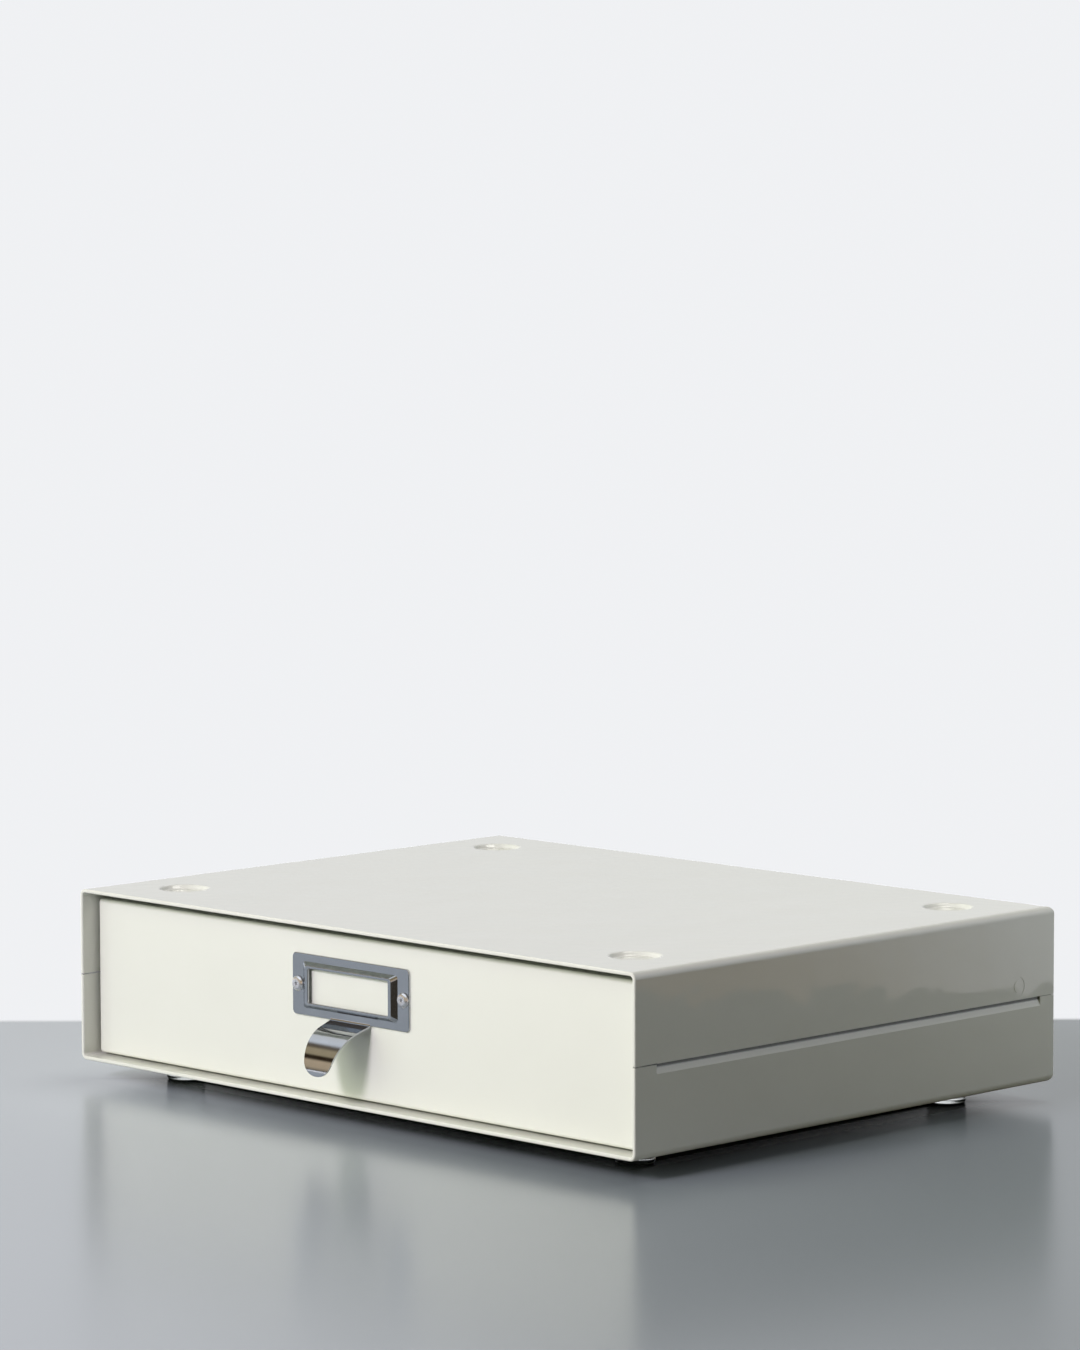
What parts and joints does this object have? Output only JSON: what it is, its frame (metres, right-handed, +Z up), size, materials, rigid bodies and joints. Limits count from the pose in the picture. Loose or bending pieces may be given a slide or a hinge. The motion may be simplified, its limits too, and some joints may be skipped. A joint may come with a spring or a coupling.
{
  "type": "stackable document drawer",
  "caption": "Stackable enamelled sheet-metal document case with one sliding drawer, a riveted label holder with a curved finger pull, clear feet and matching seats in its top.",
  "frame": {"origin": "bottom centre of the whole object, on the table plane under the feet, with the drawer closed", "axes": "+X to the right seen from the front, +Y to the back, +Z up; the drawer opens towards -Y"},
  "size_m": [0.33, 0.2624, 0.082],
  "materials": {
    "enamel": "gloss baked enamel, warm white",
    "holder_plating": "polished nickel plate",
    "rivet_metal": "bright",
    "clear_foot": "clear soft polyurethane, glossy",
    "buffer_rubber": "matt",
    "nylon": "satin natural nylon"
  },
  "bodies": {
    "case": {"upper_shell": "enamel", "lower_shell": "enamel", "stop_catch_left": "enamel", "stop_catch_right": "enamel", "buffer_left": "buffer_rubber", "buffer_right": "buffer_rubber", "glide_front_left": "nylon", "glide_front_right": "nylon", "foot_front_left": "clear_foot", "foot_front_right": "clear_foot", "foot_rear_left": "clear_foot", "foot_rear_right": "clear_foot"},
    "drawer": {"drawer_front": "enamel", "drawer_tray": "enamel", "drawer_back": "enamel", "glide_rear_left": "nylon", "glide_rear_right": "nylon", "label_holder": "holder_plating", "rivet_left": "rivet_metal", "rivet_right": "rivet_metal"}
  },
  "joints": [
    {"name": "drawer_slide", "type": "slide", "parent": "case", "child": "drawer", "axis": [0, -1, 0], "range_m": [0, 0.19]}
  ]
}
